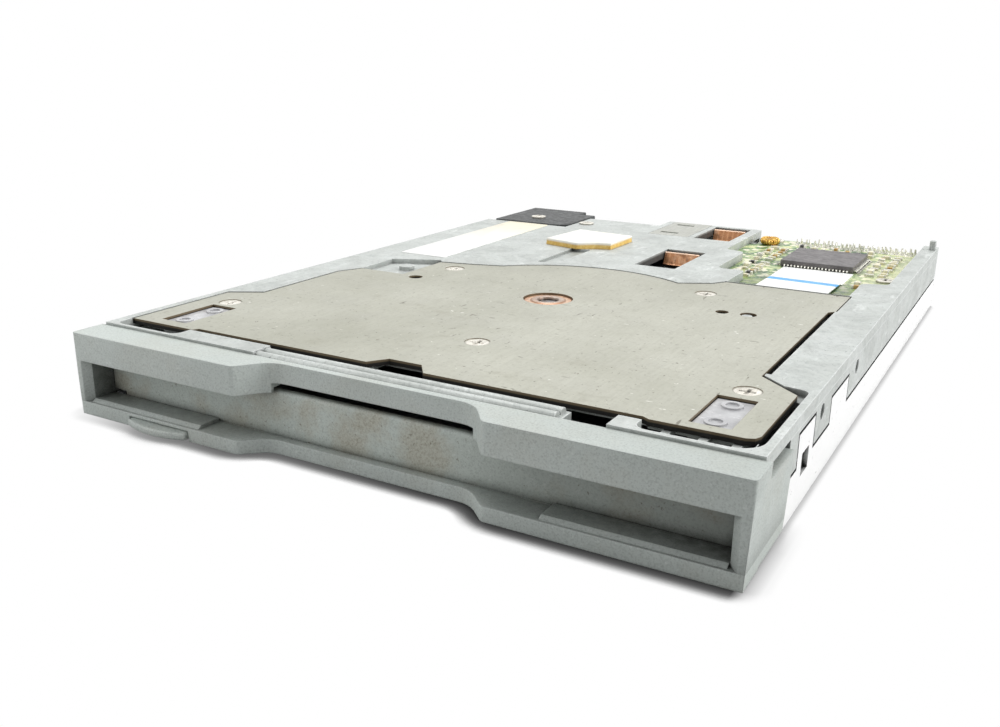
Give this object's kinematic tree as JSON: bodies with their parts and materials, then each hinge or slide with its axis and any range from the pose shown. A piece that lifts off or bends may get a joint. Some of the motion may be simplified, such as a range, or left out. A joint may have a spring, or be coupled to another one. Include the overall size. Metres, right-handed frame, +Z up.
{
  "type": "slim floppy disk drive",
  "caption": "Slim slot-loading 3.5 inch floppy disk drive, motor side up: plastic bezel with sprung slot door and eject button, cast frame, olive motor plate, circuit board and steel cover.",
  "frame": {"origin": "centre of the bounding box in plan, on the surface that the drive lies on", "axes": "+X to the right as seen from the bezel, +Y from the bezel to the rear, +Z up, out of the motor plate"},
  "size_m": [0.0974, 0.1354, 0.0142],
  "materials": {
    "cast_frame": "die cast, mottled",
    "cover_steel": "bright zinc plated sheet",
    "screw_steel": "bright plated",
    "bezel_plastic": "fine grain",
    "spring_steel": "drawn wire",
    "slide_steel": "plated sheet",
    "pin_steel": "ground",
    "plate_steel": "olive tinted electrical sheet",
    "bronze": "sintered",
    "core_steel": "lacquered laminations",
    "winding": "enamelled copper wire",
    "black_plastic": "satin",
    "head_ceramic": "polished",
    "board_laminate": "solder mask",
    "chip_resin": "moulded",
    "solder": "tinned",
    "coil_gold": "lacquered wire",
    "white_film": "polyester film",
    "flex_film": "polyimide film",
    "pad_foam": "soft foam"
  },
  "bodies": {
    "case": {"main_frame": "cast_frame", "frame_walls": "cast_frame", "frame_hangers": "cast_frame", "case_cover": "cover_steel", "cover_screws": "screw_steel", "front_bezel": "bezel_plastic", "door_spring": "spring_steel", "eject_springs": "spring_steel", "motor_plate": "plate_steel", "motor_plate_screws": "screw_steel", "spindle_bearing": "bronze", "stator_core": "core_steel", "stator_coils": "winding", "guide_rods": "pin_steel", "screw_bearing": "bronze", "stepper_can": "slide_steel", "stepper_coils": "winding", "stepper_bracket": "slide_steel", "control_board": "board_laminate", "control_chip": "chip_resin", "chip_pins": "solder", "board_parts": "head_ceramic", "filter_coil": "coil_gold", "interface_connector": "black_plastic", "connector_pins": "solder", "ribbon_socket": "white_film", "motor_ribbon": "white_film", "head_flex": "flex_film", "track_sensor": "black_plastic", "media_switch_left": "head_ceramic", "media_switch_right": "head_ceramic", "spacer_pad": "pad_foam", "blank_label": "white_film", "rear_bracket": "black_plastic", "rod_plate": "plate_steel", "deck_screws": "screw_steel"},
    "door": {"slot_door": "bezel_plastic"},
    "eject": {"eject_button": "bezel_plastic", "eject_slide": "slide_steel"},
    "holder": {"disk_holder": "slide_steel", "holder_pins": "pin_steel", "latch_spring": "spring_steel"},
    "latch": {"latch_lever": "slide_steel"},
    "rotor": {"spindle_shaft": "pin_steel", "rotor_yoke": "slide_steel", "rotor_magnet": "core_steel", "chuck_hub": "slide_steel"},
    "drive_pin": {"drive_pin": "bronze"},
    "screw": {"lead_screw": "pin_steel", "stepper_rotor": "core_steel"},
    "carriage": {"head_carriage": "black_plastic", "lower_head": "head_ceramic", "arm_pivot_pin": "pin_steel", "arm_spring": "spring_steel", "follower_pin": "pin_steel"},
    "arm": {"head_arm": "slide_steel", "upper_head": "head_ceramic"},
    "disk_in": {"disk_in_plunger": "black_plastic"},
    "write_protect": {"write_protect_plunger": "black_plastic"},
    "density": {"density_plunger": "black_plastic"}
  },
  "joints": [
    {"name": "eject_slide", "type": "slide", "parent": "case", "child": "eject", "axis": [0, -1, 0], "range_m": [0, 0.005]},
    {"name": "holder_lift", "type": "slide", "parent": "case", "child": "holder", "axis": [0, 0, 1], "range_m": [0, 0.00265]},
    {"name": "latch_turn", "type": "hinge", "parent": "holder", "child": "latch", "pos_m": [-0.04, 0.0314, 0.0071], "axis": [0, 0, 1], "range_deg": [0, 75], "stiffness_Nm_per_rad": 0.004, "springref_deg": -17.19},
    {"name": "door_swing", "type": "hinge", "parent": "case", "child": "door", "pos_m": [0, -0.06135, 0.0019], "axis": [-1, 0, 0], "range_deg": [0, 84], "stiffness_Nm_per_rad": 0.002, "springref_deg": -28.65},
    {"name": "spindle_turn", "type": "hinge", "parent": "case", "child": "rotor", "pos_m": [-0.0003, -0.0141, 0.0095], "axis": [0, 0, 1], "continuous": true},
    {"name": "drive_pin_press", "type": "slide", "parent": "rotor", "child": "drive_pin", "axis": [0, 0, 1], "range_m": [0, 0.0006], "stiffness_N_per_m": 400, "springref_m": -0.001},
    {"name": "lead_screw_turn", "type": "hinge", "parent": "case", "child": "screw", "pos_m": [-0.0185, 0.0419, 0.0064], "axis": [0, 1, 0], "range_deg": [0, 1421]},
    {"name": "carriage_slide", "type": "slide", "parent": "case", "child": "carriage", "axis": [0, -1, 0], "range_m": [0, 0.0148]},
    {"name": "head_arm_lift", "type": "hinge", "parent": "carriage", "child": "arm", "pos_m": [0, 0.0569, 0.003], "axis": [-1, 0, 0], "range_deg": [0, 7.7]},
    {"name": "disk_in_press", "type": "slide", "parent": "case", "child": "disk_in", "axis": [0, 0, 1], "range_m": [0, 0.0008], "stiffness_N_per_m": 300, "springref_m": -0.0008},
    {"name": "write_protect_press", "type": "slide", "parent": "case", "child": "write_protect", "axis": [0, 0, 1], "range_m": [0, 0.0008], "stiffness_N_per_m": 300, "springref_m": -0.0008},
    {"name": "density_press", "type": "slide", "parent": "case", "child": "density", "axis": [0, 0, 1], "range_m": [0, 0.0008], "stiffness_N_per_m": 300, "springref_m": -0.0008}
  ],
  "couplings": [
    {"joint": "holder_lift", "follows": "eject_slide", "ratio": 0.53},
    {"joint": "head_arm_lift", "follows": "eject_slide", "rad_per_m": 26.843},
    {"joint": "lead_screw_turn", "follows": "carriage_slide", "rad_per_m": 1675.5}
  ]
}
